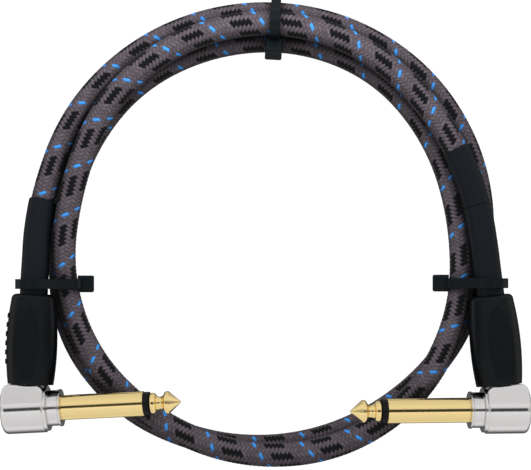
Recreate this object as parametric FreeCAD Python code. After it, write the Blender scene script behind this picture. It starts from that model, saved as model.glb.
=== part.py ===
import FreeCAD, Part
import math
import os

# Instrument patch cable, coiled flat and held by three cable ties.
# Millimetres, +Z up, origin under the middle of the coil on the surface that it lies on.
# Two identical right-angle 6.35 mm mono phone plugs, one woven-jacket cable, heat-shrink at
# both grips and one marker sleeve on the right-hand end.

V = FreeCAD.Vector

# ---- cable and coil ----
CABLE_R = 3.1
RING_X, RING_Y = -0.66, -1.80
FIRST_ANGLE = 170.0
STATION_STEP = 25.0
# Radius and height of the centreline, one pair per 25 degrees, clockwise seen from above.
PASS_1 = (
    (56.4, 8.8), (57.3, 6.8), (57.5, 4.8), (57.6, 4.6), (57.9, 4.2), (58.0, 3.7), (57.1, 4.0),
    (55.6, 4.5), (54.8, 4.1), (53.1, 3.4), (52.7, 3.2), (53.3, 3.2), (54.8, 3.4), (54.7, 4.2),
)
PASS_2 = (
    (50.9, 4.7), (50.6, 4.1), (51.1, 3.8), (50.8, 4.5), (51.2, 4.6), (51.4, 3.9), (50.2, 3.8),
    (49.8, 8.1), (52.7, 10.5), (55.3, 10.2), (55.7, 9.8), (54.4, 9.6), (52.9, 9.8), (52.6, 10.4),
)
PASS_3 = (
    (51.4, 11.2), (49.7, 11.0), (52.3, 10.4), (54.3, 10.6), (55.4, 10.8), (55.1, 10.3),
    (53.9, 10.1), (54.5, 11.7),
)

# ---- plug, in its own frame: x to the tip, y square to it towards the cable, z up ----
PLUG_Z = 13.7
PLUG_TILT = 10.0
GRIP_LEAN = 5.0
LEFT_ELBOW, LEFT_TURN = (-60.0, -44.85), 3.0
RIGHT_ELBOW, RIGHT_TURN = (60.05, -45.0), -0.4
SLEEVE_R = 3.175
SLEEVE_BORE_R = 2.05
SHANK_R = 2.95
COLLAR_END = 8.4
SLEEVE_END = 29.7
RING_END = 31.2
TIP_LENGTH = 7.9
ROD_R = 1.1
HOUSING_R = 6.1
HOUSING_BACK, HOUSING_FRONT = -6.75, 5.0
HOUSING_BORE_R = 3.3
BLOCK_HALF_DEPTH = 6.05
BLOCK_TAPER = 0.106
BLOCK_TOP = 6.65
GRIP_START, GRIP_END = 6.35, 29.3
GRIP_BOTTOM_R, GRIP_BELLY_R, GRIP_TOP_R = 5.85, 6.5, 5.6
GRIP_BORE_R = 3.95
GRIP_FACET = 5.8
RIDGES, RIDGE_PITCH, FIRST_RIDGE = 6, 2.35, 11.4
RIDGE_WIDTH, RIDGE_OUT = 1.2, 0.3
JACKET_START = 13.3
STRAIGHT_END = 32.8

# ---- sleeves on the cable ----
SHRINK_R = 3.6
SHRINK_BORE_R = 3.2
SHRINK_START = 28.0
LEFT_SHRINK, RIGHT_SHRINK = 25.7, 24.2
MARKER_R = 3.5
MARKER_LENGTH = 15.5

# ---- cable ties ----
STRAP_WIDTH = 2.5
STRAP_THICK = 1.1
STRAP_GAP = 0.15
HEAD = (4.1, 4.3, 4.7)
CHAMBER = (1.25, 3.3, 2.6, 1.6)
PAWL_WIDTH = 2.1
PAWL_HINGE = (1.95, 1.2)


def ring_point(angle, radius, z):
    a = math.radians(angle)
    return V(RING_X + radius * math.cos(a), RING_Y + radius * math.sin(a), z)


def plug_placement(elbow, turn, side):
    """side +1 points the plug to +X, -1 to -X; both tips rise by PLUG_TILT."""
    t, a = math.radians(PLUG_TILT), math.radians(turn)
    ex = V(side * math.cos(t) * math.cos(a), math.cos(t) * math.sin(a), math.sin(t))
    ey = V(-side * math.sin(a), math.cos(a), 0)
    ez = ex.cross(ey)
    return FreeCAD.Placement(V(elbow[0], elbow[1], PLUG_Z), FreeCAD.Rotation(ex, ey, ez, "XYZ"))


LEAN = FreeCAD.Placement(V(), FreeCAD.Rotation(V(0, 0, 1), -GRIP_LEAN))
LEFT = plug_placement(LEFT_ELBOW, LEFT_TURN, 1)
RIGHT = plug_placement(RIGHT_ELBOW, RIGHT_TURN, -1)


def grip_axis_point(place, along):
    return place.multVec(LEAN.multVec(V(0, along, 0)))


def route_points():
    points = [grip_axis_point(LEFT, JACKET_START), grip_axis_point(LEFT, STRAIGHT_END)]
    # The smooth line cuts inside its corners, so each corner stands outside it.
    outside = 1.0 / (0.75 + 0.25 * math.cos(math.radians(STATION_STEP)))
    for i, (radius, z) in enumerate(PASS_1 + PASS_2 + PASS_3):
        points.append(ring_point(FIRST_ANGLE - STATION_STEP * i, radius * outside, z))
    points += [grip_axis_point(RIGHT, STRAIGHT_END), grip_axis_point(RIGHT, JACKET_START)]
    return points


def route_edges(points):
    """Straight runs joined by tangent arcs, each as large as its runs allow."""
    edges, radii = [], []
    start = points[0]
    for before, corner, after in zip(points, points[1:], points[2:]):
        into, out = (corner - before), (after - corner)
        reach = 0.45 * min(into.Length, out.Length)
        into.normalize()
        out.normalize()
        turn = into.getAngle(out)
        radius = reach / math.tan(turn / 2)
        first, last = corner - into * reach, corner + out * reach
        inward = (out - into).normalize()
        sagitta = radius / math.cos(turn / 2) - radius
        edges.append(Part.LineSegment(start, first).toShape())
        edges.append(Part.Arc(first, corner + inward * sagitta, last).toShape())
        radii.append(radius)
        start = last
    edges.append(Part.LineSegment(start, points[-1]).toShape())
    return edges, radii


def trimmed(edges, first, last):
    """The part of the route between two lengths along it."""
    kept, done = [], 0.0
    for edge in edges:
        a, b = max(first - done, 0.0), min(last - done, edge.Length)
        if b - a > 0.01:
            p, q = edge.getParameterByLength(a), edge.getParameterByLength(b)
            kept.append(edge.Curve.toShape(p, q))
        done += edge.Length
    return kept


def pipe(edges, radius):
    path = Part.Wire(edges)
    start = edges[0].valueAt(edges[0].FirstParameter)
    heading = edges[0].tangentAt(edges[0].FirstParameter)
    section = Part.Wire(Part.Circle(start, heading, radius).toShape())
    solid = path.makePipeShell([section], True, False)
    return solid if solid.Volume > 0 else solid.reversed()


def turned(points):
    """A solid of revolution about x from (x, radius) corners; a third value makes an arc middle."""
    edges = []
    corners = [V(p[0], p[1], 0) for p in points]
    arcs = [len(p) == 3 for p in points]
    i = 0
    while i < len(corners):
        nxt = (i + 1) % len(corners)
        if arcs[nxt]:
            end = (i + 2) % len(corners)
            edges.append(Part.Arc(corners[i], corners[nxt], corners[end]).toShape())
            i += 2
        else:
            edges.append(Part.LineSegment(corners[i], corners[nxt]).toShape())
            i += 1
    face = Part.Face(Part.Wire(edges))
    return face.revolve(V(0, 0, 0), V(1, 0, 0), 360)


def rod(radius, x0, x1):
    return Part.makeCylinder(radius, x1 - x0, V(x0, 0, 0), V(1, 0, 0))


def tube(outer, inner, x0, x1):
    return rod(outer, x0, x1).cut(rod(inner, x0 - 1, x1 + 1))


def upright(radius, y0, y1, x=0.0, z=0.0):
    return Part.makeCylinder(radius, y1 - y0, V(x, y0, z), V(0, 1, 0))


def slab(x0, x1, y0, y1, z0, z1):
    return Part.makeBox(x1 - x0, y1 - y0, z1 - z0, V(x0, y0, z0))


def leaned(shape):
    """Stands a shape on the grip's leaning axis."""
    copy = shape.copy()
    copy.Placement = LEAN.multiply(copy.Placement)
    return copy


def plug_tip():
    x = RING_END
    return turned((
        (-0.4, 0), (-0.4, ROD_R), (x, ROD_R), (x, 2.4), (x + 0.8, 2.65, 1), (x + 1.6, 2.3),
        (x + 2.55, 1.6, 1), (x + 3.9, 2.55), (x + 4.6, 2.9, 1), (x + 5.2, 2.6),
        (x + TIP_LENGTH - 0.4, 0.6), (x + TIP_LENGTH - 0.12, 0.42, 1), (x + TIP_LENGTH, 0.15),
        (x + TIP_LENGTH, 0),
    ))


def plug_sleeve():
    """The barrel's outer wall shows from the collar's face on; a thinner shank runs inside."""
    solid = rod(SLEEVE_R, COLLAR_END, SLEEVE_END).fuse(rod(SHANK_R, 2.9, COLLAR_END + 1))
    return solid.cut(rod(SLEEVE_BORE_R, 0, SLEEVE_END + 1)).removeSplitter()


def plug_housing():
    barrel = rod(HOUSING_R, HOUSING_BACK, HOUSING_FRONT - 0.9)
    back = [e for e in barrel.Edges if abs(e.CenterOfMass.x - HOUSING_BACK) < 1e-6]
    barrel = barrel.makeFillet(1.2, back)
    lip = rod(HOUSING_R - 0.35, HOUSING_FRONT - 0.95, HOUSING_FRONT)
    d, top = BLOCK_HALF_DEPTH, BLOCK_TOP
    # The block's top runs along the underside of the leaning grip.
    outline = [
        Part.LineSegment(V(-6.65, 0, -d), V(-6.65, 1.2, -d)),
        Part.LineSegment(V(-6.65, 1.2, -d), V(-6.2, 4.4, -d)),
        Part.Arc(V(-6.2, 4.4, -d), V(-5.55, 5.95, -d), V(-4.2, top, -d)),
        Part.LineSegment(V(-4.2, top, -d), V(2.4, top - 0.58, -d)),
        Part.Arc(V(2.4, top - 0.58, -d), V(3.9, 5.5, -d), V(4.6, 4.4, -d)),
        Part.LineSegment(V(4.6, 4.4, -d), V(4.6, 0, -d)),
        Part.LineSegment(V(4.6, 0, -d), V(-6.65, 0, -d)),
    ]
    block = Part.Face(Part.Wire([c.toShape() for c in outline])).extrude(V(0, 0, 2 * d))
    high = top + 1
    far = d - BLOCK_TAPER * high
    corners = [V(-8, 0, -d), V(-8, high, -far), V(-8, high, far), V(-8, 0, d), V(-8, 0, -d)]
    block = block.common(Part.Face(Part.makePolygon(corners)).extrude(V(16, 0, 0)))
    rims = [e for e in block.Edges if abs(e.CenterOfMass.z) > far - 0.1 and e.CenterOfMass.y > 0.1]
    block = block.makeFillet(0.6, rims)
    neck = leaned(upright(4.5, 0, GRIP_START - 0.1))
    spigot = leaned(upright(4.2, 0, 12.0))
    solid = barrel.multiFuse([lip, block, neck, spigot])
    hollow = rod(HOUSING_BORE_R, -2.6, HOUSING_FRONT + 1).fuse(leaned(upright(3.2, 0, 12.5)))
    return solid.cut(hollow).cut(slab(HOUSING_FRONT, 9, -8, 8, -8, 8)).removeSplitter()


def grip_form(grow):
    """The grip's turned form, thicker all round by a given amount."""
    middle = (GRIP_START + GRIP_END) / 2 - 2.5
    low, belly, high = GRIP_BOTTOM_R + grow, GRIP_BELLY_R + grow, GRIP_TOP_R + grow
    profile = [
        Part.LineSegment(V(GRIP_BORE_R, GRIP_START, 0), V(low, GRIP_START, 0)),
        Part.Arc(V(low, GRIP_START, 0), V(belly, middle, 0), V(high, GRIP_END - 1.4, 0)),
        Part.Arc(V(high, GRIP_END - 1.4, 0), V(5.2, GRIP_END - 0.4, 0), V(4.25, GRIP_END, 0)),
        Part.LineSegment(V(4.25, GRIP_END, 0), V(GRIP_BORE_R, GRIP_END, 0)),
        Part.LineSegment(V(GRIP_BORE_R, GRIP_END, 0), V(GRIP_BORE_R, GRIP_START, 0)),
    ]
    return Part.Face(Part.Wire([c.toShape() for c in profile])).revolve(V(), V(0, 1, 0), 360)


def plug_grip(ridged):
    body = grip_form(0)
    for z0 in (GRIP_FACET, -GRIP_FACET - 3):
        body = body.cut(slab(-8, 8, GRIP_START + 1.2, GRIP_END, z0, z0 + 3))
    for i in range(RIDGES if ridged else 0):
        y = FIRST_RIDGE + i * RIDGE_PITCH
        body = body.fuse(grip_form(RIDGE_OUT).common(slab(-8, -5, y, y + RIDGE_WIDTH, -2.5, 2.5)))
    body = body.cut(upright(4.3, GRIP_START - 1, 12.2))
    return leaned(body.removeSplitter())


def plug_pieces(ridged):
    """Every piece of one plug, in the plug's frame."""
    pieces = {
        "tip": plug_tip(),
        "tip_ring": tube(SHANK_R, ROD_R + 0.1, SLEEVE_END, RING_END),
        "sleeve": plug_sleeve(),
        "insulator": tube(SLEEVE_BORE_R - 0.1, ROD_R + 0.1, 0.6, SLEEVE_END),
        "collar": turned((
            (HOUSING_FRONT, 3.1), (HOUSING_FRONT, 4.55), (COLLAR_END - 0.5, 4.55),
            (COLLAR_END - 0.5, 4.75), (COLLAR_END, 4.75), (COLLAR_END, 3.1),
        )),
        "housing": plug_housing(),
        "grip": plug_grip(ridged),
    }
    pieces["tip_lug"] = leaned(slab(-1.2, -0.6, -0.9, 6.3, -1.1, 1.1))
    washer = tube(2.85, 2.15, 2.2, 2.75)
    tab = slab(2.2, 2.75, 2.4, 6.9, -1.0, 1.0)
    pieces["ground_lug"] = washer.fuse(tab).removeSplitter()
    pieces["conductor"] = leaned(upright(0.5, 4.2, 6.5, x=0.0))
    pieces["core_insulation"] = leaned(upright(1.1, 6.6, JACKET_START - 0.1))
    pieces["shield_pigtail"] = leaned(upright(0.5, 7.25, JACKET_START - 0.1, x=2.0))
    return pieces


def belt(circles, grow):
    """The closed outline round circles given in turn, anticlockwise, each grown by a clearance."""
    normals = []
    for (x1, y1, r1), (x2, y2, r2) in zip(circles, circles[1:] + circles[:1]):
        d = math.hypot(x2 - x1, y2 - y1)
        dx, dy, s = (x2 - x1) / d, (y2 - y1) / d, (r1 - r2) / d
        c = math.sqrt(1 - s * s)
        normals.append(math.atan2(dy * s - dx * c, dx * s + dy * c))
    edges = []
    count = len(circles)
    for i in range(count):
        x, y, r = circles[i]
        r += grow
        a, b = normals[i - 1], normals[i]
        while b < a:
            b += 2 * math.pi
        arc = [V(x + r * math.cos(t), 0, y + r * math.sin(t)) for t in (a, (a + b) / 2, b)]
        edges.append(Part.Arc(*arc).toShape())
        x2, y2, r2 = circles[(i + 1) % count]
        r2 += grow
        far = V(x2 + r2 * math.cos(b), 0, y2 + r2 * math.sin(b))
        edges.append(Part.LineSegment(arc[2], far).toShape())
    return Part.Face(Part.Wire(edges))


def tie(circles, head_at, head_angle, width=STRAP_WIDTH):
    """Strap with its head, in the bundle's cross-section: x outwards, z up."""
    outer, inner = belt(circles, STRAP_GAP + STRAP_THICK), belt(circles, STRAP_GAP)
    band = outer.cut(inner).extrude(V(0, width, 0))
    band.translate(V(0, -width / 2, 0))
    upright_head = FreeCAD.Rotation(V(0, 1, 0), 180 - head_angle).multiply(FreeCAD.Rotation(V(0, 0, 1), 180))
    turn = FreeCAD.Placement(V(head_at[0], 0, head_at[1]), upright_head)
    block = slab(0, HEAD[0], -HEAD[1] / 2, HEAD[1] / 2, -HEAD[2] / 2, HEAD[2] / 2)
    long_edges = [e for e in block.Edges if abs(e.tangentAt(e.FirstParameter).x) > 0.9]
    far = [e for e in block.Edges if abs(e.CenterOfMass.x - HEAD[0]) < 1e-6]
    block = block.makeFillet(0.5, long_edges + far)
    x0, x1, w, top = CHAMBER
    block = block.cut(slab(x0, x1, -w / 2, w / 2, -HEAD[2], top))
    stub = slab(0.05, 1.05, -width / 2, width / 2, HEAD[2] / 2 - 0.2, HEAD[2] / 2 + 0.5)
    block = block.fuse(stub)
    block.Placement = turn
    room = belt(circles, STRAP_GAP).extrude(V(0, 12, 0))
    room.translate(V(0, -6, 0))
    strap = band.fuse(block.cut(room)).removeSplitter()
    hx, hz = PAWL_HINGE
    teeth = [(hx - 0.2, hz), (hx + 0.2, hz), (hx + 0.45, -2.0), (1.4, -2.0), (1.65, -1.45)]
    teeth += [(1.4, -1.35), (1.65, -0.8), (1.4, -0.7), (1.65, -0.1)]
    face = Part.Face(Part.makePolygon([V(x, -PAWL_WIDTH / 2, z) for x, z in teeth + teeth[:1]]))
    pawl = face.extrude(V(0, PAWL_WIDTH, 0))
    pawl.Placement = turn
    hinge = turn.multVec(V(hx, 0, hz))
    return strap, pawl, hinge


def at_bundle(y, angle):
    """A tie's cross-section frame: x points out of the coil, from the coil's middle line."""
    return FreeCAD.Placement(V(RING_X, y, 0), FreeCAD.Rotation(V(0, 0, 1), angle))


def strands_at(edges, place):
    """Where the cable crosses a tie's plane: length along it, distance out, and height."""
    found, done, before = [], 0.0, None
    back = place.inverse()
    for edge in edges:
        steps = max(2, int(edge.Length))
        for i in range(steps):
            at = edge.Length * i / steps
            local = back.multVec(edge.valueAt(edge.getParameterByLength(at)))
            if before and local.x > 0 and before[1].y * local.y <= 0 and before[1].y != local.y:
                share = before[1].y / (before[1].y - local.y)
                here = before[1] + (local - before[1]) * share
                found.append((before[0] + (done + at - before[0]) * share, here.x, here.z))
            before = (done + at, local)
        done += edge.Length
    return found


def anticlockwise(circles):
    x = sum(c[0] for c in circles) / len(circles)
    z = sum(c[1] for c in circles) / len(circles)
    return sorted(circles, key=lambda c: math.atan2(c[1] - z, c[0] - x))


# Each tie: the Y that its plane starts from, the way it faces, where its head's inner face is,
# and which way the head points.
TIES = {
    "top": (RING_Y, 86.8, (50.5, 9.2), 146.3),
    "left": (-13.0, 180.0, (47.2, 8.3), 180.0),
    "right": (-12.8, 0.0, (47.4, 8.6), 180.0),
}


def build():
    nodes = {}
    points = route_points()
    edges, radii = route_edges(points)
    length = sum(e.Length for e in edges)
    nodes["cable"] = pipe(edges, CABLE_R)
    print("cable length", round(length, 1), "smallest radius", round(min(radii), 1))
    print("radii", [round(r) for r in radii])
    runs = [(b - a).Length for a, b in zip(points, points[1:])]
    print("runs", round(min(runs), 1), round(max(runs), 1))
    print("volume share", nodes["cable"].Volume / (math.pi * CABLE_R ** 2 * length))

    start = SHRINK_START - JACKET_START
    spans = {
        "left_heat_shrink": (start, start + LEFT_SHRINK, SHRINK_R),
        "right_heat_shrink": (length - start - RIGHT_SHRINK, length - start, SHRINK_R),
    }
    marker_end = length - start - RIGHT_SHRINK - 0.1
    spans["right_marker_sleeve"] = (marker_end - MARKER_LENGTH, marker_end, MARKER_R)
    for name, (first, last, radius) in spans.items():
        span = trimmed(edges, first, last)
        nodes[name] = pipe(span, radius).cut(pipe(span, SHRINK_BORE_R))

    for side, place in (("left", LEFT), ("right", RIGHT)):
        for name, shape in plug_pieces(side == "left").items():
            placed = shape.copy()
            placed.Placement = place.multiply(placed.Placement)
            nodes[side + "_" + name] = placed
        print(side, "elbow", place.Base, "tip", place.multVec(V(1, 0, 0)) - place.Base,
              "collar face", place.multVec(V(COLLAR_END, 0, 0)), "end", place.multVec(V(RING_END + TIP_LENGTH, 0, 0)))

    for name, (y, angle, head_at, head_angle) in TIES.items():
        place = at_bundle(y, angle)
        circles, strands = [], []
        for at, x, z in strands_at(edges, place):
            shrunk = at < start + LEFT_SHRINK or at > length - start - RIGHT_SHRINK
            radius = SHRINK_R if shrunk else CABLE_R
            circles.append((x, z, radius))
            strands.append(pipe(trimmed(edges, at - 9, at + 9), radius + 0.12))
        print("tie", name, "strands", [tuple(round(v, 2) for v in c) for c in circles])
        strap, pawl, hinge = tie(anticlockwise(circles), head_at, head_angle)
        strap.Placement = place
        strap = strap.cut(Part.makeCompound(strands))
        strap.Placement = place.inverse().multiply(strap.Placement)
        for label, shape in (("tie_" + name, strap), ("tie_" + name + "_pawl", pawl)):
            placed = shape.copy()
            placed.Placement = place.multiply(placed.Placement)
            nodes[label] = placed
        axis = place.Rotation.multVec(V(0, 1, 0))
        print("tie", name, "hinge", place.multVec(hinge), "axis", axis)
    return nodes


def write(nodes):
    os.makedirs("parts", exist_ok=True)
    whole = FreeCAD.BoundBox()
    for name, shape in nodes.items():
        solids = shape.Solids
        print(name, "solids", len(solids), "valid", shape.isValid(), "mm3", round(shape.Volume, 1))
        whole.add(shape.BoundBox)
        (solids[0] if len(solids) == 1 else shape).exportStep(os.path.join("parts", name + ".step"))
    print("bounds", whole)


write(build())
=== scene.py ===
"""A coiled instrument patch cable with right-angle phone plugs, seen from straight above."""
import math

import bpy
import numpy as np
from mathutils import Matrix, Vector


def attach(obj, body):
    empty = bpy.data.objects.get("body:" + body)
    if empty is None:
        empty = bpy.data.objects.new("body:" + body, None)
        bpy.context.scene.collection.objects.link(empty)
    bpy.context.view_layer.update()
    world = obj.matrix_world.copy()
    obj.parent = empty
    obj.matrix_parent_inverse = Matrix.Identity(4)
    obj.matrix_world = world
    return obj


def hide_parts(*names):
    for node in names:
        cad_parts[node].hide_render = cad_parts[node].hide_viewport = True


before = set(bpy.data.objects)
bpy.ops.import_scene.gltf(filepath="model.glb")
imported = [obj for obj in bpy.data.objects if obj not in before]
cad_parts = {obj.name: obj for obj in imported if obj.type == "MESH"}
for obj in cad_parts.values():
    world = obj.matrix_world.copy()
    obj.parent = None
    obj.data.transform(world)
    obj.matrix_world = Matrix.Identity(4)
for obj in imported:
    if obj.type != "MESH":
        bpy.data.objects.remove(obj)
MM = 0.001
BODY = "cable_assembly"

# ---- the cable's route, in millimetres, as the model has it ----
RING_X, RING_Y = -0.66, -1.80
FIRST_ANGLE = 170.0
STATION_STEP = 25.0
# Radius and height of the centreline, one pair per 25 degrees, clockwise seen from above.
PASS_1 = (
    (56.4, 8.8), (57.3, 6.8), (57.5, 4.8), (57.6, 4.6), (57.9, 4.2), (58.0, 3.7), (57.1, 4.0),
    (55.6, 4.5), (54.8, 4.1), (53.1, 3.4), (52.7, 3.2), (53.3, 3.2), (54.8, 3.4), (54.7, 4.2),
)
PASS_2 = (
    (50.9, 4.7), (50.6, 4.1), (51.1, 3.8), (50.8, 4.5), (51.2, 4.6), (51.4, 3.9), (50.2, 3.8),
    (49.8, 8.1), (52.7, 10.5), (55.3, 10.2), (55.7, 9.8), (54.4, 9.6), (52.9, 9.8), (52.6, 10.4),
)
PASS_3 = (
    (51.4, 11.2), (49.7, 11.0), (52.3, 10.4), (54.3, 10.6), (55.4, 10.8), (55.1, 10.3),
    (53.9, 10.1), (54.5, 11.7),
)
PLUG_Z = 13.7
PLUG_TILT = 10.0
GRIP_LEAN = 5.0
LEFT_ELBOW, LEFT_TURN = (-60.0, -44.85), 3.0
RIGHT_ELBOW, RIGHT_TURN = (60.05, -45.0), -0.4
JACKET_START = 13.3
STRAIGHT_END = 32.8

# ---- sleeves on the cable ----
SHRINK_R, SHRINK_START = 3.6, 28.0
LEFT_SHRINK, RIGHT_SHRINK = 25.7, 24.2
MARKER_R, MARKER_LENGTH = 3.5, 15.5
SLEEVE_GAP = 0.1
SLEEVE_BORE = 3.26
SLEEVE_ROLL = 0.25
SLEEVE_STEP, SLEEVE_SIDES = 0.5, 40

# ---- woven jacket ----
LEAD = 12.7
YARNS = 12
PATTERN_SHIFT = 0.40
RING_STEP = 0.43
SIDES = 44
WEAVE_FLOOR, WEAVE_RELIEF = 2.97, 0.24
STRANDS_PER_YARN = 6


def grip_axis_point(elbow, turn, side, along):
    """A point on the line of a plug's grip, that far from the elbow."""
    t, a, lean = math.radians(PLUG_TILT), math.radians(turn), math.radians(GRIP_LEAN)
    to_tip = Vector((side * math.cos(t) * math.cos(a), math.cos(t) * math.sin(a), math.sin(t)))
    square = Vector((-side * math.sin(a), math.cos(a), 0))
    base = Vector((elbow[0], elbow[1], PLUG_Z))
    return base + along * (math.sin(lean) * to_tip + math.cos(lean) * square)


def route_points():
    """The route's points in metres: out of one grip, round the coil, and into the other."""
    points = [grip_axis_point(LEFT_ELBOW, LEFT_TURN, 1, v) for v in (JACKET_START, STRAIGHT_END)]
    # The smooth line cuts inside its corners, so each corner stands outside it.
    outside = 1.0 / (0.75 + 0.25 * math.cos(math.radians(STATION_STEP)))
    for i, (radius, z) in enumerate(PASS_1 + PASS_2 + PASS_3):
        a = math.radians(FIRST_ANGLE - STATION_STEP * i)
        r = radius * outside
        points.append(Vector((RING_X + r * math.cos(a), RING_Y + r * math.sin(a), z)))
    points += [grip_axis_point(RIGHT_ELBOW, RIGHT_TURN, -1, v) for v in (STRAIGHT_END, JACKET_START)]
    return [p * MM for p in points]


def smooth_line(points):
    """The points of a NURBS line through the route, read from a curve that has no bevel."""
    curve = bpy.data.curves.new("route", "CURVE")
    curve.dimensions = "3D"
    spline = curve.splines.new("NURBS")
    spline.points.add(len(points) - 1)
    for knot, point in zip(spline.points, points):
        knot.co = (*point, 1.0)
    spline.order_u = 3
    spline.use_endpoint_u = True
    spline.resolution_u = 48
    holder = bpy.data.objects.new("route", curve)
    bpy.context.scene.collection.objects.link(holder)
    seen = holder.evaluated_get(bpy.context.evaluated_depsgraph_get())
    mesh = bpy.data.meshes.new_from_object(seen)
    line = np.array([v.co[:] for v in mesh.vertices])
    bpy.data.meshes.remove(mesh)
    bpy.data.objects.remove(holder)
    return line


class Path:
    """The cable's centreline by length along it, with a frame that doesn't twist."""

    def __init__(self, line):
        self.at = np.concatenate(([0.0], np.cumsum(np.linalg.norm(np.diff(line, axis=0), axis=1))))
        self.length = self.at[-1]
        self.line = line
        heading = np.gradient(line, self.at, axis=0)
        self.heading = heading / np.linalg.norm(heading, axis=1)[:, None]
        side = np.cross(self.heading[0], (0.0, 0.0, 1.0))
        sides = []
        for t in self.heading:
            side = side - t * np.dot(side, t)
            side = side / np.linalg.norm(side)
            sides.append(side)
        self.side = np.array(sides)

    def _read(self, values, s):
        return np.stack([np.interp(s, self.at, values[:, i]) for i in range(3)], axis=1)

    def frames(self, s):
        """Centres, side vectors and up vectors at those lengths."""
        heading = self._read(self.heading, s)
        heading /= np.linalg.norm(heading, axis=1)[:, None]
        side = self._read(self.side, s)
        side -= heading * np.sum(side * heading, axis=1)[:, None]
        side /= np.linalg.norm(side, axis=1)[:, None]
        return self._read(self.line, s), side, np.cross(heading, side)


def weave_height(lead, turn):
    """Height from 0 to 1 of a two-over, two-under braid at a place on the jacket."""
    lead = lead + PATTERN_SHIFT
    a, b = YARNS * (turn - lead), YARNS * (turn + lead)
    cell = np.mod(np.floor(a) + np.floor(b), 4)
    fa, fb = a - np.floor(a), b - np.floor(b)
    right = cell < 2
    across = np.where(right, fa, fb)
    along = np.where(right, (cell + fb) / 2, (cell - 2 + fa) / 2)
    hump = np.clip(np.sin(np.pi * along), 0, 1) ** 0.5
    return np.clip(np.sin(np.pi * across), 0, 1) ** 0.6 * (0.35 + 0.65 * hump)


def tube_mesh(name, path, stops, sides, radius_at, closed=True):
    """A tube over rings at the given lengths; radius_at(stops, turns) gives its radii in metres."""
    centres, side, up = path.frames(stops)
    turns = np.arange(sides) / sides
    s_grid, turn_grid = np.meshgrid(stops, turns, indexing="ij")
    radii = radius_at(s_grid, turn_grid)[..., None]
    angle = (turn_grid * 2 * np.pi)[..., None]
    rim = np.cos(angle) * side[:, None] + np.sin(angle) * up[:, None]
    points = (centres[:, None] + radii * rim).reshape(-1, 3)
    rings = len(stops)
    i, j = np.meshgrid(np.arange(rings - 1), np.arange(sides), indexing="ij")
    k = (j + 1) % sides
    quads = np.stack([i * sides + j, i * sides + k, (i + 1) * sides + k, (i + 1) * sides + j], axis=-1)
    faces = quads.reshape(-1, 4).tolist()
    if closed:
        faces.append(list(range(sides))[::-1])
        faces.append([(rings - 1) * sides + n for n in range(sides)])
    mesh = bpy.data.meshes.new(name)
    mesh.from_pydata(points.tolist(), [], faces)
    mesh.shade_smooth()
    corner_lead = np.stack([s_grid[:-1], s_grid[:-1], s_grid[1:], s_grid[1:]], axis=-1)[:, :sides]
    turn_here, turn_next = j / sides, (j + 1) / sides
    corner_turn = np.stack([turn_here, turn_next, turn_next, turn_here], axis=-1)
    uv = np.stack([corner_lead / (LEAD * MM), corner_turn], axis=-1).reshape(-1, 2)
    if closed:
        uv = np.concatenate([uv, np.zeros((2 * sides, 2))])
    layer = mesh.uv_layers.new(name="weave")
    layer.data.foreach_set("uv", uv.astype(np.float32).ravel())
    piece = bpy.data.objects.new(name, mesh)
    bpy.context.scene.collection.objects.link(piece)
    return piece


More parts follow.
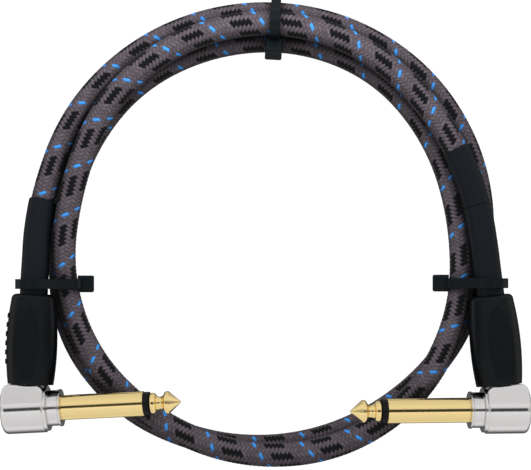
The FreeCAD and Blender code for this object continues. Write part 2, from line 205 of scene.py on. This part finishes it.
# ---- materials ----
class Nodes:
    """A short way to build a material's node tree, or the world's."""

    def __init__(self, name, owner=None):
        self.material = owner or bpy.data.materials.new(name)
        self.material.use_nodes = True
        self.tree = self.material.node_tree
        self.shader = self.tree.nodes.get("Principled BSDF")

    def add(self, kind, **values):
        node = self.tree.nodes.new(kind)
        for key, value in values.items():
            setattr(node, key, value)
        return node

    def put(self, socket, value):
        if isinstance(value, bpy.types.NodeSocket):
            self.tree.links.new(value, socket)
        else:
            socket.default_value = value

    def math(self, operation, *values):
        node = self.add("ShaderNodeMath", operation=operation)
        for socket, value in zip(node.inputs, values):
            self.put(socket, value)
        return node.outputs[0]

    def mix(self, factor, first, second):
        node = self.add("ShaderNodeMix", data_type="RGBA")
        self.put(node.inputs[0], factor)
        self.put(node.inputs[6], first)
        self.put(node.inputs[7], second)
        return node.outputs[2]

    def noise(self, scale, detail=3.0, vector=None):
        node = self.add("ShaderNodeTexNoise")
        node.inputs["Scale"].default_value = scale
        node.inputs["Detail"].default_value = detail
        place = vector or self.add("ShaderNodeTexCoord").outputs["Object"]
        self.put(node.inputs["Vector"], place)
        return node.outputs["Fac"]

    def ramp(self, value, low, high, first=0.0, last=1.0):
        node = self.add("ShaderNodeMapRange")
        self.put(node.inputs["Value"], value)
        node.inputs["From Min"].default_value = first
        node.inputs["From Max"].default_value = last
        node.inputs["To Min"].default_value = low
        node.inputs["To Max"].default_value = high
        return node.outputs["Result"]

    def steps(self, value, stops):
        """A grey that follows the given (place, value) stops."""
        node = self.add("ShaderNodeValToRGB")
        elements = node.color_ramp.elements
        while len(elements) < len(stops):
            elements.new(0.5)
        for element, (place, grey) in zip(elements, stops):
            element.position = place
            element.color = (grey, grey, grey, 1)
        self.put(node.inputs["Fac"], value)
        return node.outputs["Color"]

    def bump(self, height, distance, strength=1.0, normal=None):
        node = self.add("ShaderNodeBump")
        node.inputs["Distance"].default_value = distance
        node.inputs["Strength"].default_value = strength
        self.put(node.inputs["Height"], height)
        if normal:
            self.put(node.inputs["Normal"], normal)
        return node.outputs["Normal"]

    def crown(self, low, first, last):
        """Painted top light and side shade: 1 where a surface faces up, falling to a low value on its
        sides.
        """
        way = self.add("ShaderNodeSeparateXYZ")
        self.put(way.inputs[0], self.add("ShaderNodeNewGeometry").outputs["Normal"])
        return self.ramp(way.outputs[2], low, 1.0, first, last)

    def painted_crevice_shade(self, reach):
        """Painted crevice shade: 1 in the open, darker where pieces lie close together."""
        node = self.add("ShaderNodeAmbientOcclusion", samples=6)
        node.inputs["Distance"].default_value = reach
        return node.outputs["AO"]

    def rounded(self, radius):
        node = self.add("ShaderNodeBevel")
        node.inputs["Radius"].default_value = radius
        return node.outputs["Normal"]

    def set(self, **values):
        for key, value in values.items():
            self.put(self.shader.inputs[key.replace("_", " ")], value)


JACKET_BASE = (0.138, 0.114, 0.132, 1)
JACKET_SHADE = (0.040, 0.033, 0.039, 1)
# The black yarn patches' own colour, also used as the painted crevice shade.
JACKET_BLACK_AND_SHADE = (0.0055, 0.0060, 0.0068, 1)
JACKET_BLUE = (0.050, 0.340, 0.920, 1)


def woven_material():
    """A grey-mauve braid with black patches and one blue yarn, coloured by the weave's own cells."""
    n = Nodes("woven_jacket")
    uv = n.add("ShaderNodeUVMap", uv_map="weave")
    split = n.add("ShaderNodeSeparateXYZ")
    n.put(split.inputs[0], uv.outputs["UV"])
    lead, turn = split.outputs[0], split.outputs[1]
    lead = n.math("ADD", lead, PATTERN_SHIFT)
    a = n.math("MULTIPLY", n.math("SUBTRACT", turn, lead), YARNS)
    b = n.math("MULTIPLY", n.math("ADD", turn, lead), YARNS)
    ia, ib = n.math("FLOOR", a), n.math("FLOOR", b)
    fa, fb = n.math("SUBTRACT", a, ia), n.math("SUBTRACT", b, ib)
    cell = n.math("FLOORED_MODULO", n.math("ADD", ia, ib), 4.0)
    right = n.math("LESS_THAN", cell, 1.5)
    left = n.math("SUBTRACT", 1.0, right)

    def chosen(for_right, for_left):
        return n.math("ADD", n.math("MULTIPLY", right, for_right), n.math("MULTIPLY", left, for_left))

    across = chosen(fa, fb)
    along_right = n.math("MULTIPLY", n.math("ADD", cell, fb), 0.5)
    along_left = n.math("MULTIPLY", n.math("ADD", n.math("SUBTRACT", cell, 2.0), fa), 0.5)
    along = chosen(along_right, along_left)
    yarn = n.math("FLOORED_MODULO", ia, float(YARNS))
    blue = n.math("MULTIPLY", right, n.math("LESS_THAN", yarn, 0.5))
    in_band = n.math("MULTIPLY", n.math("GREATER_THAN", yarn, 2.5), n.math("LESS_THAN", yarn, 7.5))
    black = n.math("MULTIPLY", right, in_band)

    hump = n.math("SINE", n.math("MULTIPLY", along, math.pi))
    crown = n.math("SINE", n.math("MULTIPLY", across, math.pi))
    rise = n.math("ADD", n.math("MULTIPLY", hump, 0.5), 0.5)
    height = n.math("MULTIPLY", n.math("POWER", crown, 0.6), rise)
    strands = n.math("SINE", n.math("MULTIPLY", across, 2 * math.pi * STRANDS_PER_YARN))
    key = n.add("ShaderNodeCombineXYZ")
    n.put(key.inputs[0], chosen(ia, n.math("ADD", ib, 0.37)))
    n.put(key.inputs[1], n.math("FLOOR", n.math("MULTIPLY", chosen(ib, ia), 0.5)))
    varied = n.add("ShaderNodeTexWhiteNoise", noise_dimensions="3D")
    n.put(varied.inputs["Vector"], key.outputs[0])

    # Painted shade: the yarn valleys and fibre lines are darker, and the cable's sides are darker than its
    # up-facing top, times each yarn's own random tone.
    light = n.math("MULTIPLY", n.ramp(height, 0.25, 1.0), n.ramp(varied.outputs["Value"], 0.72, 1.12))
    light = n.math("MULTIPLY", light, n.ramp(n.math("ADD", strands, 1.0), 0.9, 1.0))
    light = n.math("MULTIPLY", light, n.crown(0.35, 0.0, 0.85))
    base = n.mix(light, JACKET_SHADE, JACKET_BASE)
    colour = n.mix(black, base, JACKET_BLACK_AND_SHADE)
    colour = n.mix(n.math("MULTIPLY", blue, n.ramp(height, 0.45, 1.0)), colour, JACKET_BLUE)
    # Painted shade where strands lie close together, mixed toward the black yarn colour.
    shade_in_crevices = n.math("POWER", n.painted_crevice_shade(0.006), 1.6)
    colour = n.mix(shade_in_crevices, JACKET_BLACK_AND_SHADE, colour)
    fine = n.math("ADD", height, n.math("MULTIPLY", strands, 0.06))
    n.set(Base_Color=colour, Roughness=n.ramp(height, 0.85, 0.58), Specular_IOR_Level=0.12)
    n.set(Sheen_Weight=0.03, Sheen_Roughness=0.4, Normal=n.bump(fine, 0.00016, 0.8))
    return n.material


# crown gives the painted side shade's value and the range of up-facing it spans.
def plastic_material(name, colour, roughness, grain, depth, edge=0.00015, crown=(0.4, 0.2, 0.95)):
    n = Nodes(name)
    mottle = n.noise(900.0, 4.0)
    fine = n.noise(grain, 3.0)
    dark = tuple(c * 0.75 for c in colour) + (1,)
    pale = tuple(c * 1.35 for c in colour) + (1,)
    # Painted top light and side shade: the sides fall to near-black and the up-facing top stays lighter,
    # over a random mottled tone.
    skin = n.mix(n.crown(*crown), (0.0015, 0.002, 0.0025, 1), n.mix(mottle, dark, pale))
    n.set(Base_Color=skin, Roughness=n.ramp(mottle, roughness - 0.06, roughness + 0.08))
    n.set(Specular_IOR_Level=0.12, Normal=n.bump(fine, depth, 0.5, n.rounded(edge)))
    return n.material


def metal_material(name, colour, roughness, edge=0.00025, spread=1.0):
    """Plated metal; a spread under 1 widens what it mirrors along its crown."""
    n = Nodes(name)
    way = n.add("ShaderNodeSeparateXYZ")
    n.put(way.inputs[0], n.rounded(edge))
    wide = n.add("ShaderNodeCombineXYZ")
    for i, share in enumerate((1.0, spread, 1.0)):
        n.put(wide.inputs[i], n.math("MULTIPLY", way.outputs[i], share))
    unit = n.add("ShaderNodeVectorMath", operation="NORMALIZE")
    n.put(unit.inputs[0], wide.outputs[0])
    patch = n.noise(350.0, 3.0)
    dull = tuple(c * 0.94 for c in colour) + (1,)
    n.set(Base_Color=n.mix(patch, dull, tuple(colour) + (1,)), Metallic=1.0)
    n.set(Roughness=n.ramp(patch, roughness * 0.75, roughness * 1.25))
    n.set(Normal=n.bump(n.noise(1800.0, 2.0), 0.000004, 0.35, unit.outputs[0]))
    return n.material


def assign(name, material):
    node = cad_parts[name]
    if not node.material_slots:
        node.data.materials.append(material)
    for slot in node.material_slots:
        slot.material = material


def colour_cad_nodes():
    nickel = metal_material("nickel_plate", (0.76, 0.745, 0.74), 0.10, 0.0005)
    gold = metal_material("gold_plate", (0.93, 0.72, 0.33), 0.075, 0.0002, 0.62)
    tinned = metal_material("tinned_brass", (0.72, 0.71, 0.68), 0.3, 0.0001)
    copper = metal_material("copper", (0.85, 0.42, 0.24), 0.3, 0.0001)
    # The grip's last three numbers give its painted top light: a lighter up-facing facet with black sides.
    grip = plastic_material(
        "grip_plastic", (0.0040, 0.0068, 0.0088), 0.30, 5200.0, 0.00002, 0.0004, (0.1, 0.7, 1.0))
    insulator = plastic_material("black_insulator", (0.006, 0.006, 0.006), 0.3, 4000.0, 0.00001)
    white = plastic_material("white_insulation", (0.70, 0.69, 0.66), 0.4, 4000.0, 0.00001)
    nylon = plastic_material("tie_nylon", (0.0042, 0.0070, 0.0090), 0.34, 3000.0, 0.00003, 0.0003)
    by_piece = {
        "tip": gold, "sleeve": gold, "collar": nickel, "housing": nickel, "grip": grip,
        "tip_ring": insulator, "insulator": insulator, "tip_lug": tinned, "ground_lug": tinned,
        "conductor": copper, "shield_pigtail": copper, "core_insulation": white,
    }
    for side in ("left", "right"):
        for piece, material in by_piece.items():
            assign(side + "_" + piece, material)
    for place in ("top", "left", "right"):
        assign("tie_" + place, nylon)
        assign("tie_" + place + "_pawl", nylon)


# ---- pieces on the route ----
def woven_cable(path):
    stops = np.linspace(0, path.length, int(path.length / (RING_STEP * MM)) + 1)

    def radius(s, turn):
        return (WEAVE_FLOOR + WEAVE_RELIEF * weave_height(s / (LEAD * MM), turn)) * MM

    cable = tube_mesh("woven_cable", path, stops, SIDES, radius)
    cable.data.materials.append(woven_material())
    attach(cable, BODY)
    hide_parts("cable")
    return cable, path.frames(stops)[0]


def sleeve_on_cable(path, name, first, last, outer, material):
    """A shrunk sleeve: its skin shows a little of the braid, and its ends roll in."""
    stops = np.linspace(first, last, int((last - first) / (SLEEVE_STEP * MM)) + 1)
    roll = SLEEVE_ROLL * MM
    body = np.concatenate(([first, first, first + roll], stops[1:-1], [last - roll, last, last]))

    def radius(s, turn):
        soft = 0.05 * MM * weave_height(s / (LEAD * MM), turn)
        slow = 0.03 * MM * np.sin(s / (2.3 * MM)) * np.sin(2 * np.pi * turn + s / (5 * MM))
        r = outer * MM - 0.05 * MM + soft + slow
        r[0], r[-1] = SLEEVE_BORE * MM, SLEEVE_BORE * MM
        r[1], r[-2] = outer * MM - roll, outer * MM - roll
        return r

    piece = tube_mesh(name, path, body, SLEEVE_SIDES, radius, closed=False)
    piece.data.materials.append(material)
    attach(piece, BODY)
    return piece


def build_cable():
    points = route_points()
    path = Path(smooth_line(points))
    cable, rings = woven_cable(path)
    # The heat shrink's crown gives its painted side shade, darker on the sides than on its up-facing top.
    shrink = plastic_material(
        "heat_shrink", (0.0055, 0.0075, 0.0115), 0.42, 2600.0, 0.00003, crown=(0.1, 0.3, 0.95))
    start = (SHRINK_START - JACKET_START) * MM
    far = path.length - start
    marker_end = far - (RIGHT_SHRINK + SLEEVE_GAP) * MM
    spans = {
        "left_heat_shrink": (start, start + LEFT_SHRINK * MM, SHRINK_R),
        "right_heat_shrink": (far - RIGHT_SHRINK * MM, far, SHRINK_R),
        "right_marker_sleeve": (marker_end - MARKER_LENGTH * MM, marker_end, MARKER_R),
    }
    for node, (first, last, outer) in spans.items():
        piece = sleeve_on_cable(path, node + "_skin", first, last, outer, shrink)
        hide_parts(node)


# ---- surroundings ----
CAMERA_ABOVE = 2.000
PLUG_HEIGHT = 0.014
VIEW_WIDTH = 0.1351
VIEW_Y = -0.00053
FLOOR_HALF = 1.2
BACK_LAMP_PLACE = (0, 0.13, 0.10)
BACK_LAMP_SIZE = (0.25, 0.05)
BACK_LAMP_WATTS = 0.28


def floor():
    mesh = bpy.data.meshes.new("floor")
    half = FLOOR_HALF
    corners = [(-half, -half, 0), (half, -half, 0), (half, half, 0), (-half, half, 0)]
    mesh.from_pydata(corners, [], [(0, 1, 2, 3)])
    sheet = bpy.data.objects.new("floor", mesh)
    bpy.context.scene.collection.objects.link(sheet)
    n = Nodes("floor")
    rays = n.add("ShaderNodeLightPath").outputs
    toward = n.add("ShaderNodeSeparateXYZ")
    n.put(toward.inputs[0], n.add("ShaderNodeNewGeometry").outputs["Incoming"])
    mirrored = n.math("MULTIPLY", n.ramp(toward.outputs[2], 0.85, 0.06, 0.35, 0.75), rays["Is Glossy Ray"])
    glow = n.math("ADD", n.math("ADD", mirrored, rays["Is Camera Ray"]), 0.06)
    n.set(Base_Color=(0, 0, 0, 1), Roughness=1.0, Specular_IOR_Level=0.0)
    n.set(Emission_Color=(1, 1, 1, 1), Emission_Strength=glow)
    mesh.materials.append(n.material)


def surroundings():
    """White panels either side of the plugs, a dark gap along them, and soft light from above."""
    world = bpy.data.worlds.new("studio")
    bpy.context.scene.world = world
    n = Nodes("studio", world)
    way = n.add("ShaderNodeSeparateXYZ")
    n.put(way.inputs[0], n.add("ShaderNodeTexCoord").outputs["Generated"])
    across, along, up = (n.ramp(way.outputs[i], 0.0, 1.0, -1.0, 1.0) for i in range(3))
    panels = n.steps(along, ((0.0, 0.85), (0.36, 0.98), (0.41, 1.15), (0.60, 0.88),
                             (0.66, 0.98), (1.0, 0.8)))
    strips = n.steps(across, ((0.0, 0.15), (0.10, 0.75), (0.22, 0.75), (0.29, 0.05), (0.71, 0.05),
                              (0.78, 0.55), (0.90, 0.55), (1.0, 0.15)))
    gap = n.steps(along, ((0.422, 0.0), (0.438, 1.0), (0.562, 1.0), (0.578, 0.0)))
    mirrored = n.mix(gap, panels, strips)
    soft = n.steps(up, ((0.5, 0.06), (0.75, 0.40), (1.0, 1.15)))
    glossy = n.add("ShaderNodeLightPath").outputs["Is Glossy Ray"]
    background = n.tree.nodes["Background"]
    n.put(background.inputs["Color"], n.mix(glossy, soft, mirrored))
    background.inputs["Strength"].default_value = 0.95


def lamp(name, place, size, power):
    data = bpy.data.lights.new(name, "AREA")
    data.shape = "RECTANGLE"
    data.size, data.size_y = size
    data.energy = power
    light = bpy.data.objects.new(name, data)
    light.location = place
    light.rotation_euler = Vector(place).to_track_quat("Z", "Y").to_euler()
    light.visible_glossy = False
    light.visible_camera = False
    bpy.context.scene.collection.objects.link(light)


def camera():
    data = bpy.data.cameras.new("above")
    data.sensor_width = 36.0
    data.lens = 36.0 * CAMERA_ABOVE / VIEW_WIDTH
    data.clip_start = 0.2
    eye = bpy.data.objects.new("above", data)
    eye.location = (0, VIEW_Y, PLUG_HEIGHT + CAMERA_ABOVE)
    bpy.context.scene.collection.objects.link(eye)
    bpy.context.scene.camera = eye


def note_sizes():
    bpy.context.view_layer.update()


colour_cad_nodes()
build_cable()
floor()
surroundings()
lamp("back_panel", BACK_LAMP_PLACE, BACK_LAMP_SIZE, BACK_LAMP_WATTS)
camera()
bpy.context.scene.view_settings.view_transform = "Standard"
note_sizes()
